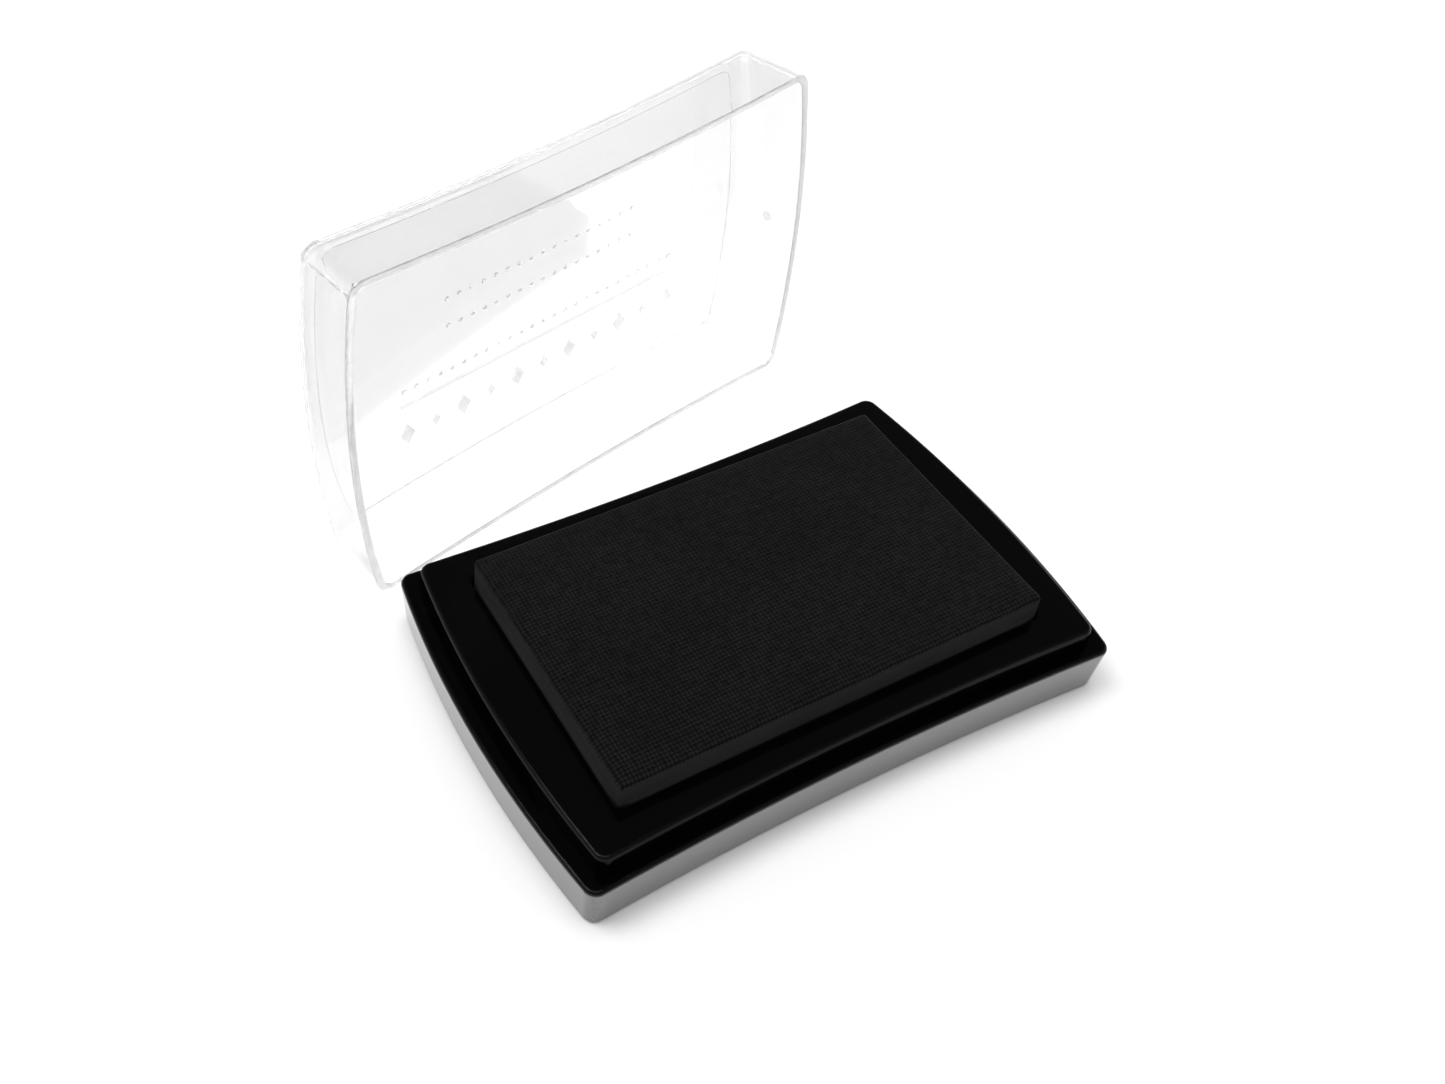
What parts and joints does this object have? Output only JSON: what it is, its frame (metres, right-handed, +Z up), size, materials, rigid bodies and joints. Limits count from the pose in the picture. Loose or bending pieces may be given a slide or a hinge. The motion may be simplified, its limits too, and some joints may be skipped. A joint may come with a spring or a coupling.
{
  "type": "ink pad",
  "caption": "Raised stamp ink pad: black moulded case with a cloth-covered foam pad and a loose clear lid that stands on edge behind it.",
  "frame": {"origin": "middle of the base's underside, on the surface the pad stands on", "axes": "+X along the case's long side, +Y towards the standing lid, +Z up out of the inked face"},
  "size_m": [0.1066, 0.1084, 0.0662],
  "materials": {
    "clear_plastic": "clear moulded polystyrene",
    "black_plastic": "glossy moulded polystyrene",
    "paper": "plain coated paper",
    "woven_cloth": "fine plain weave charged with black ink",
    "foam": "soft open foam charged with black ink",
    "board": "plain stiff board",
    "tape": "double-sided foam tape"
  },
  "bodies": {
    "case": {"base_shell": "black_plastic", "bottom_plate": "black_plastic", "underside_label": "paper", "cloth_cover": "woven_cloth", "foam_core": "foam", "backing_board": "board", "foam_tape": "tape"},
    "lid": {"lid": "clear_plastic"}
  },
  "joints": [
    {"name": "lid_put_on", "type": "hinge", "parent": "case", "child": "lid", "pos_m": [0, 0.03612, -0.00246], "axis": [0.9896, 0.104, -0.0996], "range_deg": [0, 93.1]}
  ]
}
